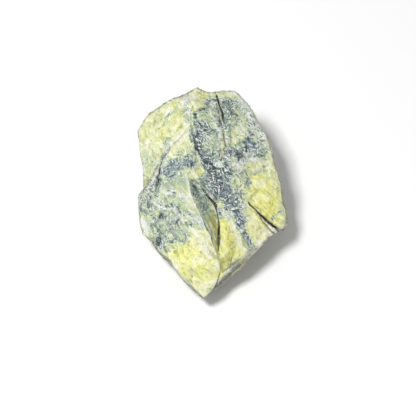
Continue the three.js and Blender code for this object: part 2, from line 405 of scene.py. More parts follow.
# %% Blue-grey strokes: gaps and last touches
gaps_and_touches = [
    (0.12, (5.8, 15.4, 0.9), (7, 17.6, 1.5), (7.6, 19, 1)),
    (0.36, (8.4, 14.6, 1)),
    (0.06, (-6.6, 5, 1.1), (-5, 5.8, 1.3), (-3.4, 6.4, 1.1)),
    (0.34, (2.4, 8.3, 0.9)),
    (0.25, (5.6, 8.2, 0.9), (9, 8, 1.1)),
    (0.18, (7.6, 2, 1), (8.8, 2.4, 1)),
    (0.26, (-1.6, 23, 0.7), (1.1, 20.2, 0.7)),
    (0.34, (-0.6, 14.8, 1.1), (0.4, 17, 1)),
    (0.42, (2.9, 18.6, 1.3), (3.8, 14, 1.4)),
    (0.6, (3.2, 19.4, 0.6), (3.4, 17.6, 0.5)),
    (0.52, (4.6, 19.6, 0.9)),
    (0.18, (9.6, 19.4, 1.4), (9.8, 17.4, 1)),
    (0.28, (7, 20.8, 0.9)),
    (0.22, (9.6, 5.2, 1.1)),
    (0.12, (11.4, 8.4, 1.2)),
    (0.8, (4.2, 7, 1.2), (4.3, 4.2, 1.1)),
    (0.9, (2.2, 2.4, 1.2)),
    (0.58, (9, 0, 0.8)),
    (0.6, (2.8, -4.6, 1.1), (6, -5, 1.3)),
    (0.45, (9.2, -2.4, 0.8)),
    (0.42, (-9.8, 11.8, 0.9), (-6.8, 13.4, 0.9)),
    # partly painted shade: darkens the shaded step at the crest's foot
    (0.8, (-6.4, 18.6, 0.4), (-5.2, 15, 0.6), (-4.6, 13.2, 0.6)),
    (0.3, (-4.8, 10.6, 0.8), (-4.2, 9.4, 0.7)),
    (0.36, (-2, 15.8, 1), (-1.2, 14.6, 0.8)),
    (0.38, (0.8, 13, 1.2)),
    (0.34, (6.8, 9.9, 1)),
    (0.5, (10.8, -14.8, 0.7), (11.8, -16, 0.7)),
    (0.3, (4.6, -6.4, 1), (5.2, -8, 0.8)),
    (0.45, (15.8, 16, 0.8)),
    (0.72, (-6, 3, 0.8), (-5.2, -0.4, 1)),
    (0.26, (-4, 23.4, 0.8), (-2.2, 22.6, 0.8)),
    (0.3, (14.2, 16.6, 0.9), (13, 19.6, 0.9)),
    (0.08, (11.5, 7, 1), (14.4, 8.8, 0.9)),
    (0.32, (16, 10.4, 1.1)),
    (0.3, (6.8, 4.6, 0.8)),
    (0.22, (2.6, -3, 0.7), (3.1, -4.4, 0.7)),
    (0.42, (-9.4, -26, 0.9), (-5, -29.8, 1.2), (-2.2, -32.4, 1.4)),
    (0.86, (0.2, 5, 1), (2, 2, 1.3)),
    (0.78, (4.4, 6.8, 0.9)),
    (0.6, (9, 0.2, 0.8), (9.3, -3.4, 0.8)),
    (0.74, (3.8, -4.4, 0.9), (6.8, -5.4, 0.9)),
    (0.3, (14.2, 2.4, 0.8)),
    (0.3, (10, -6.2, 0.5), (10.7, -8.6, 0.5)),
    (0.52, (0.2, 25.6, 0.9), (1.4, 23.4, 0.9)),
    (0.5, (7.4, 26.2, 0.8)),
    (0.3, (-13.5, 22.6, 0.9), (-10.5, 25.6, 0.8)),
    (-0.2, (14, 4.4, 1.4), (16.6, 0, 2), (17.4, -5, 1.6)),
    (-0.3, (12.4, -7.4, 1.3), (13.6, -12, 1.7), (18.6, -12.2, 0.9)),
    (-0.2, (-8.6, 28.4, 1), (-5, 29.6, 1.2)),
    (-0.2, (3.2, -11, 1.2), (4, -15, 1.6)),
    (-0.2, (6.4, -13, 0.9), (7.2, -15.6, 0.9)),
    (0.06, (9.2, 19.4, 1.1), (9, 16.8, 0.8)),
    (0.84, (-0.6, 5.2, 0.7), (0.6, 3.2, 0.7)),
    (0.84, (1.8, 2.6, 0.8), (2.4, 1.4, 0.8)),
    (0.82, (5.2, -3.6, 0.7), (6.8, -4.8, 0.6)),
]
print("gaps and touches:", len(gaps_and_touches))

# %% [markdown]
# ## The growth on the left
#
# Another growth covers the left. It is paler, a grey-green with white in it, and spotted with
# round grains: each is a pale dab inside a dark ring. It is laid over all the strokes so far.

# %% Blue-grey strokes: the left
left_growth = [
    (0.55, (-20.8, -2, 2), (-18.6, 2.2, 2), (-15, 4.6, 2.2)),
    (0.46, (-18.6, -5.4, 2.8), (-11, -3.8, 3.2)),
    (0.48, (-19, -9.6, 2.6), (-10.6, -9, 3.2)),
    (0.48, (-16.6, -13, 2.4), (-9, -12.6, 2.6)),
    (0.44, (-15.8, -16, 1.6), (-13.2, -17.2, 1)),
    (0.4, (-6.8, -9.4, 2), (-2.6, -8.4, 1.6)),
    (0.38, (-13, 0, 2), (-7, -6.6, 2.2)),
    (0.56, (-16.4, 1.6, 1.8), (-12, 3.4, 2), (-7.4, 4.6, 2.2)),
    (0.62, (-21.2, -5.6, 1.1)),
    (0.65, (-14.8, 6, 2), (-10.2, 8.2, 2.2)),
    (0.6, (-9.4, 9, 1.9), (-6.4, 9.4, 1.6)),
    (0.45, (-14, 15.4, 1.1), (-13.7, 12.2, 1.1), (-14.9, 9.8, 1.4)),
    (0.28, (-21, 12.6, 1.8), (-19, 6.6, 1.8), (-17, 9, 1.6)),
    (0.8, (-16.5, 3.4, 0.8), (-15.6, 5.4, 0.8), (-15, 7.4, 0.7)),
    (0.68, (-12, 9.6, 1), (-10.4, 8, 0.9)),
    (0.66, (-13.2, 5.4, 0.8), (-11, 6.4, 0.8)),
    (0.85, (-18.8, -1, 0.9), (-19, -3.4, 1)),
    (0.64, (-20.4, 0.6, 0.8)),
    (0.7, (-14.4, -4.2, 0.5), (-11.6, -3.6, 0.5)),
    (0.6, (-16.8, -0.6, 1.2)),
    (0.62, (-21.6, -0.6, 1.1), (-21.6, -4.6, 1.1)),
    (0.34, (-19, -8.6, 1.4), (-18.4, -10.4, 1.2)),
    ring(0.74, -12.3, -7, 2.2, 0.6, 0, 330),
    (0.85, (-14.9, -6.2, 0.7), (-15.2, -7.4, 0.7)),
    (0.36, (-12.8, -6.6, 1.1)),
    (0.56, (-11.4, -7.6, 0.7)),
    ring(0.66, -16.8, -10.6, 1.5, 0.5, 30, 360),
    (0.26, (-16.8, -10.6, 0.8)),
    ring(0.7, -12.3, -13, 1.35, 0.45),
    (0.16, (-12.3, -13, 0.75)),
    ring(0.66, -8.9, -13, 1.3, 0.45),
    (0.16, (-8.9, -13, 0.75)),
    (0.2, (-10.4, -10, 1.2)),
    (0.7, (-13.6, -10.2, 0.6), (-11, -11, 0.5)),
    (0.86, (-15.4, -13.2, 1.0), (-16, -15, 1)),
    (0.75, (-14.4, -16.6, 0.7)),
    (0.28, (-12.4, -16.6, 1.2), (-9, -15.6, 0.9)),
    (0.38, (-5.4, -5.4, 1.4), (-3, -8.6, 1.6)),
    (0.62, (-6.6, -9.5, 0.9)),
    (0.32, (-7.8, 29.4, 1), (-7.2, 21, 1)),
    (0.82, (-7.8, 9.9, 1), (-6.6, 8.8, 0.9)),
    (0.64, (-14.6, -2.6, 1.1)),
    (0.05, (-7, -1.4, 0.8), (-4.8, -5.2, 0.8)),
    (0.3, (-10.2, -9.8, 0.8), (-7.8, -9.8, 0.8)),
    (0.6, (-17.4, -7.4, 0.8)),
    (0.34, (-15, 5, 0.7), (-16.6, 7.4, 0.7)),
    (0.36, (-15, -8.6, 0.9)),
    (0.5, (-10.6, -7.2, 0.7)),
    (-0.2, (-7.6, -17.4, 1.6), (-4.6, -19.6, 1.8), (-4, -24.6, 1.8)),
    (0.58, (-4.8, 3.2, 0.6), (-2.6, 0, 0.8), (-1.2, -4, 0.8)),
    (0.36, (-3.4, 4.4, 0.8)),
    (0.6, (-3.4, 2.6, 0.6), (-2.6, 1.4, 0.6)),
    (0.1, (-6, 5.2, 0.9), (-4.2, 6, 1)),
]
keep("growth", drawn(broad_growth + knots_and_veins + gaps_and_touches + left_growth))

# %% [markdown]
# ## Cracks and hairlines
#
# The cracks are in the mesh, and what fills them is painted dark, for the shade in them. Beside them
# run hairlines, too fine to model, which are drawn. Both have to lie on the cracks, so their places
# are hardly pushed about. Not every hollow is darkened with dust and painted shade: the lip of the
# right crack and a few fresh edges are left clean.

# %% Cracks and hairlines
cracks = [
    (1, (10.7, -2.6, 0.24), (13.4, -5.8, 0.34), (16.8, -8.6, 0.42), (20.4, -11.4, 0.6)),
    (1, (20.2, -11.7, 0.5), (21.3, -11, 0.5)),
    (0.85, (14, -6.8, 0.22), (15, -8.4, 0.22), (17.4, -11, 0.22), (18.8, -13, 0.22)),
    (0.5, (10.6, -2.2, 0.2), (13.2, 0.4, 0.2)),
    (0.4, (11.4, -2, 0.18), (13.6, 0.2, 0.18)),
    (0.55, (9.8, 7.2, 0.2), (10.2, 6, 0.2), (11, 4.4, 0.2), (12, 2.4, 0.2), (13.8, 0.4, 0.2)),
    (0.5, (8, -0.6, 0.2), (7.2, 2.4, 0.2), (6.9, 3.8, 0.2)),
    (0.75, (3.3, 18.4, 0.2), (3.7, 15.8, 0.24), (4.1, 14.2, 0.22), (3.6, 13, 0.2), (3.9, 11.6, 0.2)),
    (0.65, (5.6, 19, 0.2), (5.3, 17, 0.22), (5.8, 15.6, 0.2), (5, 14, 0.2), (4.6, 12.6, 0.2)),
    (0.55, (2.6, 13.6, 0.2), (2.2, 11.4, 0.22), (2.6, 9.6, 0.2)),
    # painted shade on the cleft's wall, in the same attribute as the cracks
    (0.4, (-0.2, -7.6, 0.8), (0.8, -10, 0.8), (1.4, -13, 0.45)),
    (0.22, (2.6, -20.2, 0.5), (2.8, -22.2, 0.5)),
    (0.16, (6.2, -17, 0.5), (5.2, -19.6, 0.5)),
]
crack_lip = drawn([(1, (13.4, -4.6, 0.8), (17, -7.6, 1.1), (21, -10.4, 1.3))], fine_mm)
fresh_edges = drawn([
    (0.85, (-13.4, 12.6, 0.9), (-10.4, 16.8, 1), (-6.6, 19.8, 1)),
    (0.6, (-15.2, 9.4, 0.5), (-13.8, 11.6, 0.7)),
    (0.7, (-6, 4.2, 0.8), (-3.6, 1.6, 0.9), (-1.6, -0.6, 0.8)),
], fine_mm)
# the measured hollows take dust and painted shade
hollow = rise(-stands_out, 0.12, 0.42) * (1 - 0.9 * crack_lip) * (1 - fresh_edges)
keep("hollow", np.maximum(hollow, drawn(cracks, fine_mm)))

# %% [markdown]
# ## Thin dark lines
#
# Where bundles of needles lie side by side they draw a navy line, some tenths of a millimetre
# thick, as at the foot of the crest and round the left growth's grains. Two lines are painted
# shade: one down the shaded step beside the crest, and one under the lower right rim, which makes
# the rim read as an edge.

# %% Dark lines
dark_and_shade_lines = [
    (0.6, (-5.2, 13.8, 0.25), (-4, 12.2, 0.3), (-3, 10.4, 0.3), (-2.6, 9.2, 0.25), (-1, 7.6, 0.2)),
    (0.7, (0.3, 7.9, 0.25), (1, 6.4, 0.3), (1.3, 4.6, 0.25), (1.4, 2, 0.2)),
    (0.9, (-15.6, 7.2, 0.25), (-16, 5.4, 0.3), (-16.4, 3.6, 0.4), (-16.4, 2, 0.3), (-16.9, 0.9, 0.25)),
    (0.6, (-15.2, 4.2, 0.25), (-16, 2.6, 0.25)),
    (0.8, (-13.8, -4, 0.3), (-12.4, -4.2, 0.3)),
    (0.8, (-10.4, -4.2, 0.25), (-9.6, -5.4, 0.35), (-9.2, -6.2, 0.25)),
    (0.7, (-10.2, -8, 0.3), (-11, -9, 0.3), (-12.4, -9.4, 0.3)),
    (0.9, (-15.3, -6.2, 0.4), (-15.6, -7.4, 0.45)),
    (0.7, (-17.2, -9.6, 0.25), (-15.8, -11, 0.3), (-14.8, -12.2, 0.25)),
    (0.8, (-21.5, -4.6, 0.3), (-21.6, -5.3, 0.3)),
    (0.8, (-14.2, -16.9, 0.3), (-13.4, -17.4, 0.35)),
    (0.8, (-15.4, -13, 0.35), (-15.4, -14.4, 0.35)),
    (0.8, (-16.6, -13.4, 0.35), (-16, -15.6, 0.4)),
    (0.6, (6.2, -3.4, 0.3), (7, -5, 0.3)),
    (0.25, (8, -6.6, 0.3), (9.6, -8.6, 0.3)),
    (0.5, (9.7, -14.2, 0.35), (10.8, -15.6, 0.35)),
    (0.8, (-5.2, 23.8, 0.6)),
    (0.7, (-3.6, 25.3, 0.45), (-2.6, 25.5, 0.4)),
    (0.7, (3.4, 27.1, 0.5)),
    (0.6, (6, 24.5, 0.4), (7.2, 23.8, 0.4)),
    (0.8, (11.8, 17.6, 0.6)),
    (0.6, (9.8, 16.6, 0.4), (10.4, 16.2, 0.4)),
    (0.6, (8.4, 11.6, 0.5), (8, 10.6, 0.5)),
    # painted shade under the lower right rim
    (0.55, (0.4, -28.8, 0.25), (3.4, -26, 0.25), (7, -22.8, 0.25), (10, -20, 0.25), (13, -17.6, 0.2)),
    (0.6, (-15, 13.2, 0.2), (-15, 10.2, 0.2)),
    (0.75, (-12.4, 13.4, 0.2), (-13.7, 11.8, 0.22), (-15, 10, 0.2)),
    (0.3, (-6.8, 4.2, 0.4), (-6, 2.4, 0.4)),
    # painted shade down the step beside the crest
    (0.45, (-6.7, 18.9, 0.3), (-5.6, 16.6, 0.4), (-4.9, 14.2, 0.4)),
]
keep("dark_and_shade_line", drawn(dark_and_shade_lines, fine_mm) * in_front)

# %% [markdown]
# ## Thin light lines
#
# Most light ones are splintered stone, as along the crest and round the chip. Some are painted
# highlights: on the upper right rim, between the right cracks and on a few facets and edges that lie
# in shade. On the rim they go a little way over the edge onto the shaded side, so they fade out later
# than the rest.

# %% Light lines
light_and_highlight_lines = [
    (0.8, (-5.4, 13.4, 0.22), (-4.4, 11.8, 0.25), (-3.6, 9.8, 0.25), (-4.2, 8.4, 0.22)),
    # painted highlight along the upper right rim, reaching over onto its shaded side
    (1, (4.4, 30.8, 0.4), (7.4, 30.1, 0.5), (10.3, 27.3, 0.6), (13.3, 23.5, 0.6), (16.2, 18.6, 0.6)),
    (0.8, (15.8, 18, 0.7), (17.3, 15.4, 0.6), (18.2, 12.4, 0.6)),
    (0.9, (-0.6, 23.8, 0.3), (0.8, 22.3, 0.35)),
    (0.8, (-1.8, 17.4, 0.25), (-0.4, 16.4, 0.3)),
    (0.7, (-2.6, 17, 0.25), (-1.2, 16, 0.25)),
    (0.6, (-4.2, 19.6, 0.25), (-2.6, 18.2, 0.25)),
    (0.5, (0, 21.4, 0.3), (2, 19.2, 0.35), (2.6, 18.2, 0.35)),
    (0.8, (11.6, 10.1, 0.5), (12.6, 9.9, 0.4)),
    (0.5, (6, 8.8, 0.5), (8.2, 7.2, 0.6)),
    (0.5, (2.7, 8.3, 0.6)),
    (0.9, (-15.4, 8, 0.3), (-14.8, 6.6, 0.25)),
    # painted highlight over the crease shade left of the crest
    (0.75, (-12.2, 14.6, 0.4), (-9.6, 17, 0.5), (-7, 19.4, 0.4)),
    (0.8, (-21, -8.4, 0.8), (-20.2, -10.2, 0.9), (-19.4, -11.6, 0.6)),
    (0.8, (-7.6, 5.2, 0.35), (-6.8, 0.9, 0.35), (-5.3, -2.8, 0.35), (-3.2, -6.4, 0.3), (-1.2, -10, 0.3)),
    (0.7, (-1.2, -10, 0.3), (-0.2, -13, 0.35), (0.7, -16, 0.3)),
    (0.9, (-5.9, 7, 0.25), (-4.6, 4.8, 0.28)),
    # painted highlights between the two right cracks and on the shaded facet below them
    (0.8, (14.8, -7.3, 0.25), (17.6, -10.1, 0.35), (19.2, -11.9, 0.35)),
    (0.24, (12.4, -9.8, 1.4), (14.4, -12.6, 1.4)),
    (0.4, (-8.4, 28.8, 0.8), (-5.2, 29.4, 0.8)),
    # painted highlight on a shaded edge right of the crest's low end
    (0.3, (-0.8, -23.4, 0.8), (0.4, -26, 0.6)),
    (0.5, (-16.6, 9.4, 0.3), (-15.4, 8.3, 0.3)),
    (0.4, (-14.4, 9, 0.3), (-12.6, 10, 0.3)),
    (0.75, (-18, -2.4, 0.22), (-16.2, -3.8, 0.3), (-15.2, -4.3, 0.22)),
    (0.6, (-13.8, -5, 0.25), (-12, -4.8, 0.35), (-10.6, -5.4, 0.3), (-9.8, -6.8, 0.3), (-9, -7.6, 0.5)),
    (0.6, (-15.6, 0.4, 0.25), (-13.4, 0, 0.35), (-12.2, 0.1, 0.3)),
    (0.4, (-10.2, -0.2, 0.4), (-8.6, -0.8, 0.5), (-7.6, -1.8, 0.4)),
    (0.3, (6.9, -4.4, 0.3)),
    (0.9, (9, -11.2, 0.45)),
    (0.5, (9, -12.6, 0.4)),
    (0.7, (-7.2, -13, 0.3), (-6.2, -14.6, 0.4)),
    (0.5, (12.6, -16.4, 0.3), (16, -15.4, 0.3), (19.8, -13, 0.3)),
    (0.5, (1.6, -26.2, 0.25), (6.6, -21.6, 0.25), (11.4, -17.4, 0.25)),
    (0.6, (2, -19.6, 0.22), (4.3, -17.3, 0.25), (6.6, -15.2, 0.22)),
    (0.5, (7.3, -16, 0.22), (7, -18.4, 0.22), (5, -22.2, 0.22)),
]
keep("light_and_highlight_line", drawn(light_and_highlight_lines, fine_mm) * rise(facing, -0.4, -0.1))

# %% [markdown]
# ## Deep yellow
#
# The yellow is deepest where it is freshest: on the low end, in the trough beside the vein and at
# the right, with a small bright spot over the cleft.

# %% Deep yellow strokes
deep_yellow_strokes = [
    (1.1, (-10.5, -17, 3), (-5, -22.5, 3.6)),
    (0.6, (-5.5, -12.5, 1.6), (-3.5, -19, 2.6)),
    (1.3, (3.4, -9.4, 2.2), (4.2, -17, 3.4)),
    (0.7, (-4, -24, 3), (1, -24, 2.4)),
    (1.1, (13, 3.4, 3), (16, -3, 4.4), (18, -8, 2.6)),
    (1.15, (11.6, -8, 2.6), (13.4, -12.4, 2.8)),
    (0.6, (-3.5, 30.4, 1), (-2, 28.4, 1)),
    (1.1, (-6.4, 5.4, 1.3), (-3.8, 6.2, 1.3)),
    (1, (2.8, -10, 1), (2.7, -17, 1)),
    (0.9, (10.8, -2.8, 1)),
    (1, (-4.8, -18.4, 1.5), (-0.8, -20.4, 1.5)),
    (0.9, (9, -17.4, 0.8), (7.6, -18, 0.8)),
    (0.6, (10.8, 7.4, 1), (14, 9.2, 1)),
    (0.45, (-11.4, 26, 1.8), (-10.6, 20.6, 1.6)),
    (0.45, (-15.6, 16, 1.4), (-15, 18.6, 1.6)),
    (0.9, (7.9, 2.1, 0.9)),
    (0.8, (-10.4, -10, 1.1)),
    (0.9, (19.6, -10, 1.4)),
]
keep("deep_yellow", np.clip(drawn(deep_yellow_strokes), 0, 1.3) * in_front)

# %% [markdown]
# ## Bleached and cream places
#
# Some of the stone is bleached: white with a little grey in it where there is mineral, as along
# the right rim and in the curved bands of the left, and cream where there is none, as on
# the small facet by the crest. On a few facets at the right that face away from the lamp, the
# cream is painted light.

# %% Bleached and cream strokes
bleached_strokes = [
    (0.6, (-15.6, 0.8, 0.7), (-13, 0, 0.8), (-8.6, -0.4, 1.1)),
    (0.6, (-8.6, -0.8, 1.1), (-6.8, -2.4, 1.2)),
    (0.5, (-7, -6.4, 1.4), (-3.4, -9, 1.5)),
    (0.3, (-6.8, -1.8, 1), (-5.2, -4.4, 0.9)),
    (0.3, (-1.6, -13.4, 0.6), (-0.6, -16.4, 0.6)),
    (0.6, (-17.6, -1.8, 0.5), (-15.4, -4, 0.6), (-12.4, -4.4, 0.5), (-9.6, -5.6, 0.7), (-8.9, -8, 0.7)),
    (0.6, (-20.9, -8.8, 1.1), (-19.8, -10.8, 0.9)),
    (0.5, (-8.2, 29.4, 1.3), (-7.6, 20.8, 1.4)),
    (0.5, (-13.8, 15.4, 0.7), (-14, 11.4, 0.8)),
    (0.75, (-17, 9.2, 0.5), (-15.9, 7.4, 0.4), (-17.6, 3.4, 0.4)),
    (0.5, (3.6, 17, 0.8), (4.4, 14, 0.8)),
    (0.55, (0.6, 8.4, 0.8), (3.2, 8.8, 0.8)),
    (0.65, (6.2, 8.6, 0.8), (9.4, 8.8, 0.9)),
    (0.7, (12.4, 21.8, 1.1), (14.4, 18.4, 1)),
    (0.45, (9.4, 12.6, 0.7), (11, 10.4, 0.8)),
    (0.5, (-1.6, 23.2, 0.5), (1.2, 20, 0.5), (2.6, 17.4, 0.5)),
    (0.5, (3.5, -6.2, 1), (6, -7.2, 1)),
    (0.4, (-21.5, 13, 1.6), (-20.5, 7, 1.6)),
    (0.55, (7, 28.4, 1.2), (9, 26, 1.2), (12, 21.8, 1.5), (14, 18.4, 1.2), (16.6, 13, 1)),
    (0.6, (2.5, 29.2, 0.7), (3, 28, 0.6)),
    (0.3, (-1.6, -12, 0.7), (0.6, -16.6, 0.6)),
    (0.35, (-5.4, 30.2, 0.7), (-5, 28.6, 0.6)),
    (0.4, (11.2, -5.4, 0.5), (10.9, -8.2, 0.5)),
    (0.5, (8.6, 20.6, 1.2), (12.4, 16.8, 0.9)),
    (0.6, (11.4, 9.8, 0.9), (15.8, 10.2, 0.9)),
]
keep("bleached", drawn(bleached_strokes) * in_front)
keep("cream_and_painted_light", drawn([
    (1, (-11, 14, 1.4), (-8, 17.5, 1.8)),
    (1.2, (-7.2, -1.4, 1), (-5, -4.6, 0.9)),
    (0.8, (-20, 14, 1.4), (-18, 12, 1.6)),
    # painted light on the facet below the right crack, which faces away from the lamp
    (1.4, (14, -14.6, 2), (20, -11, 1.8)),
    (1.1, (-4.4, -11.6, 1.4), (-3.4, -15, 1.5), (-0.8, -17.8, 1.2)),
    # painted light on the facet left of the vein, which faces away from the lamp
    (0.8, (6.6, -10.8, 0.8), (7.9, -15.6, 0.8)),
    (0.6, (12, 7.4, 1), (14, 8, 0.8)),
    (0.8, (-7.2, -22.6, 0.8), (-5.6, -23.4, 0.7)),
    (0.8, (-3.2, -27.4, 1), (-2.4, -29, 0.8)),
    (0.7, (-10, 27.4, 1.4), (-4.6, 29.6, 0.8)),
    (0.4, (-15, 12.6, 1.2)),
    # painted light on the facet under the right crack
    (0.5, (12, -8, 2.4), (15, -12, 2.6)),
    (1.4, (-20.9, -8.6, 1), (-20, -10.8, 0.9)),
    (0.5, (6.6, 17.4, 1), (8, 18.8, 0.8)),
]) * in_front)

# %% [markdown]
# ## Beige and blue tints
#
# The stone is stained beige along the middle hairlines and in a band at the right. The mineral is
# a truer blue in its knots and down the vein, and greener elsewhere.

# %% Beige and blue strokes
keep("beige", drawn([
    (0.6, (3, 17, 1.4), (3.4, 12, 1.6)),
    (0.6, (6, 8.8, 0.9), (8, 7.4, 0.9)),
    (0.5, (12.6, 6.6, 0.9), (16, 8, 0.9)),
    (0.3, (9.4, -1.6, 0.8), (9.7, -5.4, 0.7)),
    (0.5, (1.4, 27.4, 0.6), (1.8, 24.6, 0.8), (2.2, 22.4, 0.8)),
    (0.5, (-19, 1, 1.2), (-21, -2.4, 1.2)),
    (0.5, (-20.8, -9, 1.2), (-20.4, -11, 1)),
]) * in_front)
keep("blue", drawn([
    (0.9, (-14, 7, 2.2), (-10.6, 7.4, 2.2)),
    (0.8, (-7.4, 9.6, 1.8), (-5.6, 9.2, 1.5)),
    (0.9, (0.8, 1.4, 2), (4.4, 1.4, 3)),
    (0.8, (6, -2.6, 2), (9.4, -10, 1.6), (11.4, -16, 1.4)),
    (0.8, (5, 11.6, 1.4), (9, 11.6, 1.8), (13, 14.6, 2)),
    (0.6, (-19, 0, 2), (-20, -4, 2)),
    (0.6, (-4, 17, 1.4)),
    (0.8, (0, 26, 1.6), (1.8, 22, 1.4)),
    (0.6, (17.6, -8.6, 0.8), (21, -5.4, 0.9)),
    (0.5, (-16, -14, 1.4)),
    (0.7, (-11.4, -8, 1.4)),
]) * in_front)

# %% [markdown]
# ## Calm places
#
# Not all of the surface is a felt of needles. The sage patch, the cleft's wall, the chip and the
# rough side under the lower right rim are calmer. Their strokes say how much calmer, and the
# attribute is the rest: 1 where the needles are at their liveliest.

# %% Calm strokes
calm_strokes = [
    (0.85, (-13.5, 1.6, 1), (-8.6, 3.4, 2.2)),
    (0.5, (-10.5, 14, 1.6), (-8, 17.5, 2)),
    (0.5, (-21, -8.6, 1.4), (-20.2, -11, 1.4)),
    (0.6, (-7, -2, 1.2), (-4, -8.5, 2)),
    (0.5, (-12.2, -7.2, 1.6)),
    (0.6, (-5, 1.4, 1.1), (-2.2, -4, 1.5), (-0.8, -8, 1.2)),
    (0.6, (-0.6, -7.6, 1.3), (0.4, -10, 1.2), (1.6, -17, 0.8)),
    (0.8, (6.7, -16, 1), (3, -22, 1.6)),
    (0.9, (-0.6, -29.6, 1), (3.6, -25.2, 1.2), (8, -20.9, 1.2), (12, -17.4, 1), (17, -14.8, 0.6)),
    (0.4, (-13.5, -1.6, 1.4), (-10.5, -2.4, 1.6)),
    (0.45, (-14, 7, 2.4), (-9, 8.4, 2.4)),
    (0.3, (-17, -5, 3), (-14, -13, 3), (-9, -12, 3)),
]
keep("lively", 1 - drawn(calm_strokes) * in_front)

# %% [markdown]
# ## Olive breaks with painted shade, the bare sides and the sage skin
#
# The chip near the low end and the low half of the cleft's wall are smooth olive, with a crisp
# outline, so their strokes fade over a short way. Their olive is partly painted shade, as both face
# away from the lamp. The sides and the back are weathered, and the rim at the lower right gets the
# same grey-brown as painted shade. A sage-green skin lies left of the cleft.

# %% Olive, sides and sage
olive_breaks_and_shade = drawn([
    (0.6, (-6.2, 5, 0.8), (-4.4, 5.6, 0.9)),
    (0.6, (0, -6.5, 0.9), (0.4, -9.5, 0.9), (1.1, -13, 0.7), (1.7, -17, 0.4)),
    (1, (6.7, -16, 0.5), (5.3, -18.2, 1.4), (3.4, -20.7, 1.4), (3, -22.6, 0.7)),
], fine_mm, soft=(0.7, 1.15)) * in_front
keep("olive", olive_breaks_and_shade)

# painted shade along the lower right rim, in the same grey-brown as the weathered sides
lower_right_rim_shade = drawn([
    (1.6, (-0.6, -29.6, 0.8), (3.6, -25.2, 0.9), (8, -20.6, 0.9), (12, -17, 0.6), (17, -14.4, 0.4)),
])
weathered_and_shaded_part = np.maximum(lower_right_rim_shade, 1 - rise(facing, 0.4, 0.6))
keep("side", weathered_and_shaded_part * (1 - crack_lip) * (1 - olive_breaks_and_shade) * (1 - fresh_edges))
keep("sage", drawn([
    (0.45, (-17, -3, 2.6), (-10, -6, 3.4)),
    (0.4, (-16, -11, 2.6), (-9, -11.5, 2.8)),
    (0.4, (-7, -2, 1.4), (-4, -8, 1.8)),
    (0.9, (-13.8, 2.4, 1), (-8.6, 4.7, 1.4)),
    (0.8, (-12, 1.6, 1), (-8.4, 1.8, 1.3)),
]) * in_front)

# %% [markdown]
# ## Tools for the stone's colours
#
# A stone this mottled can't be one ramp. It is built up as a painter would, layer over
# layer, so a few short helpers make the nodes. The first ones make any node, and link or set its
# sockets, then come a sum, a smooth step, a noise and what was measured.

# %% Helpers for nodes
stone_finish = bpy.data.materials.new("serpentine")
stone_finish.use_nodes = True
tree = stone_finish.node_tree
surface = tree.nodes["Principled BSDF"]


def node(kind, settings=None, **inputs):
    made = tree.nodes.new(kind)
    for setting, value in (settings or {}).items():
        setattr(made, setting, value)
    for name, value in inputs.items():
        plug(made.inputs[name.replace("_", " ")], value)
    return made


def plug(socket, value):
    """Links a node's output to the socket, or sets the socket to a fixed value."""
    if isinstance(value, bpy.types.NodeSocket):
        tree.links.new(value, socket)
    else:
        socket.default_value = value


def number(operation, *values, clamp=False):
    made = node("ShaderNodeMath", {"operation": operation, "use_clamp": clamp})
    for socket, value in zip(made.inputs, values):
        plug(socket, value)
    return made.outputs[0]


def fade(value, low, high, to_low=0.0, to_high=1.0):
    """A smooth step from to_low, where the value is low, to to_high."""
    made = node("ShaderNodeMapRange", {"interpolation_type": "SMOOTHSTEP"}, Value=value)
    for name, limit in (("From Min", low), ("From Max", high), ("To Min", to_low), ("To Max", to_high)):
        made.inputs[name].default_value = limit
    return made.outputs["Result"]


def noise(at, per_mm, detail=2.0, roughness=0.5, distortion=0.0):
    return node(
        "ShaderNodeTexNoise", Vector=at, Scale=per_mm, Detail=detail,
        Roughness=roughness, Distortion=distortion,
    )


def measured(name):
    """What keep laid on the mesh's points."""
    return node("ShaderNodeAttribute", {"attribute_name": name}).outputs["Fac"]


print("helpers ready")

# %% [markdown]
# ## Coordinates in the stone
#
# The colours run through the stone, so they read Object coordinates and not the surface. A
# Mapping node turns them into the face's frame, in millimetres, and two noises push them
# about, so that nothing drawn with them runs straight. What the strokes give holds for a layer
# under the face, and ends some way down.

# %% Coordinates
FACE_LAYER_FADES = -8
FACE_LAYER_ENDS = -13  # mm, counted outwards from the frame's middle

coordinates = node("ShaderNodeTexCoord")
in_face = node(
    "ShaderNodeMapping", {"vector_type": "TEXTURE"}, Vector=coordinates.outputs["Object"],
    Location=FACE_MIDDLE, Rotation=(FACE_LEAN, 0, 0), Scale=(MM, MM, MM),
).outputs[0]


def pushed_about(at, per_mm, reach, detail):
    """The shader's own version of pushed."""
    direction = node("ShaderNodeVectorMath", {"operation": "SUBTRACT"})
    plug(direction.inputs[0], noise(at, per_mm, detail).outputs["Color"])
    direction.inputs[1].default_value = (0.5, 0.5, 0.5)
    step = node("ShaderNodeVectorMath", {"operation": "MULTIPLY_ADD"})
    plug(step.inputs[0], direction.outputs[0])
    step.inputs[1].default_value = (reach, reach, reach)
    plug(step.inputs[2], at)
    return step.outputs[0]


wavy = pushed_about(in_face, 0.3, 2.4, 1)
ragged = pushed_about(wavy, 1.3, 1.1, 2)
depth = node("ShaderNodeSeparateXYZ", Vector=in_face).outputs["Z"]
on_face = fade(depth, FACE_LAYER_ENDS, FACE_LAYER_FADES)
print("coordinates ready:", len(tree.nodes), "nodes")

# %% [markdown]
# ## Needles in bundles
#
# The blue-grey mineral is a felt of needles, a millimetre or two long, in bundles
# that each lie their own way. A Voronoi texture cuts space into cells with a random number
# each. Read as an angle, that number turns the coordinates in every cell, and a stretched
# noise on those gives the needles. Where the surface is calm, the felt is flat.

# %% Needles, patches and specks
NEEDLE_LONG = 1.7
NEEDLE_THIN = 0.42
NEEDLE_LEAN = -52
NEEDLE_SPREAD = 58


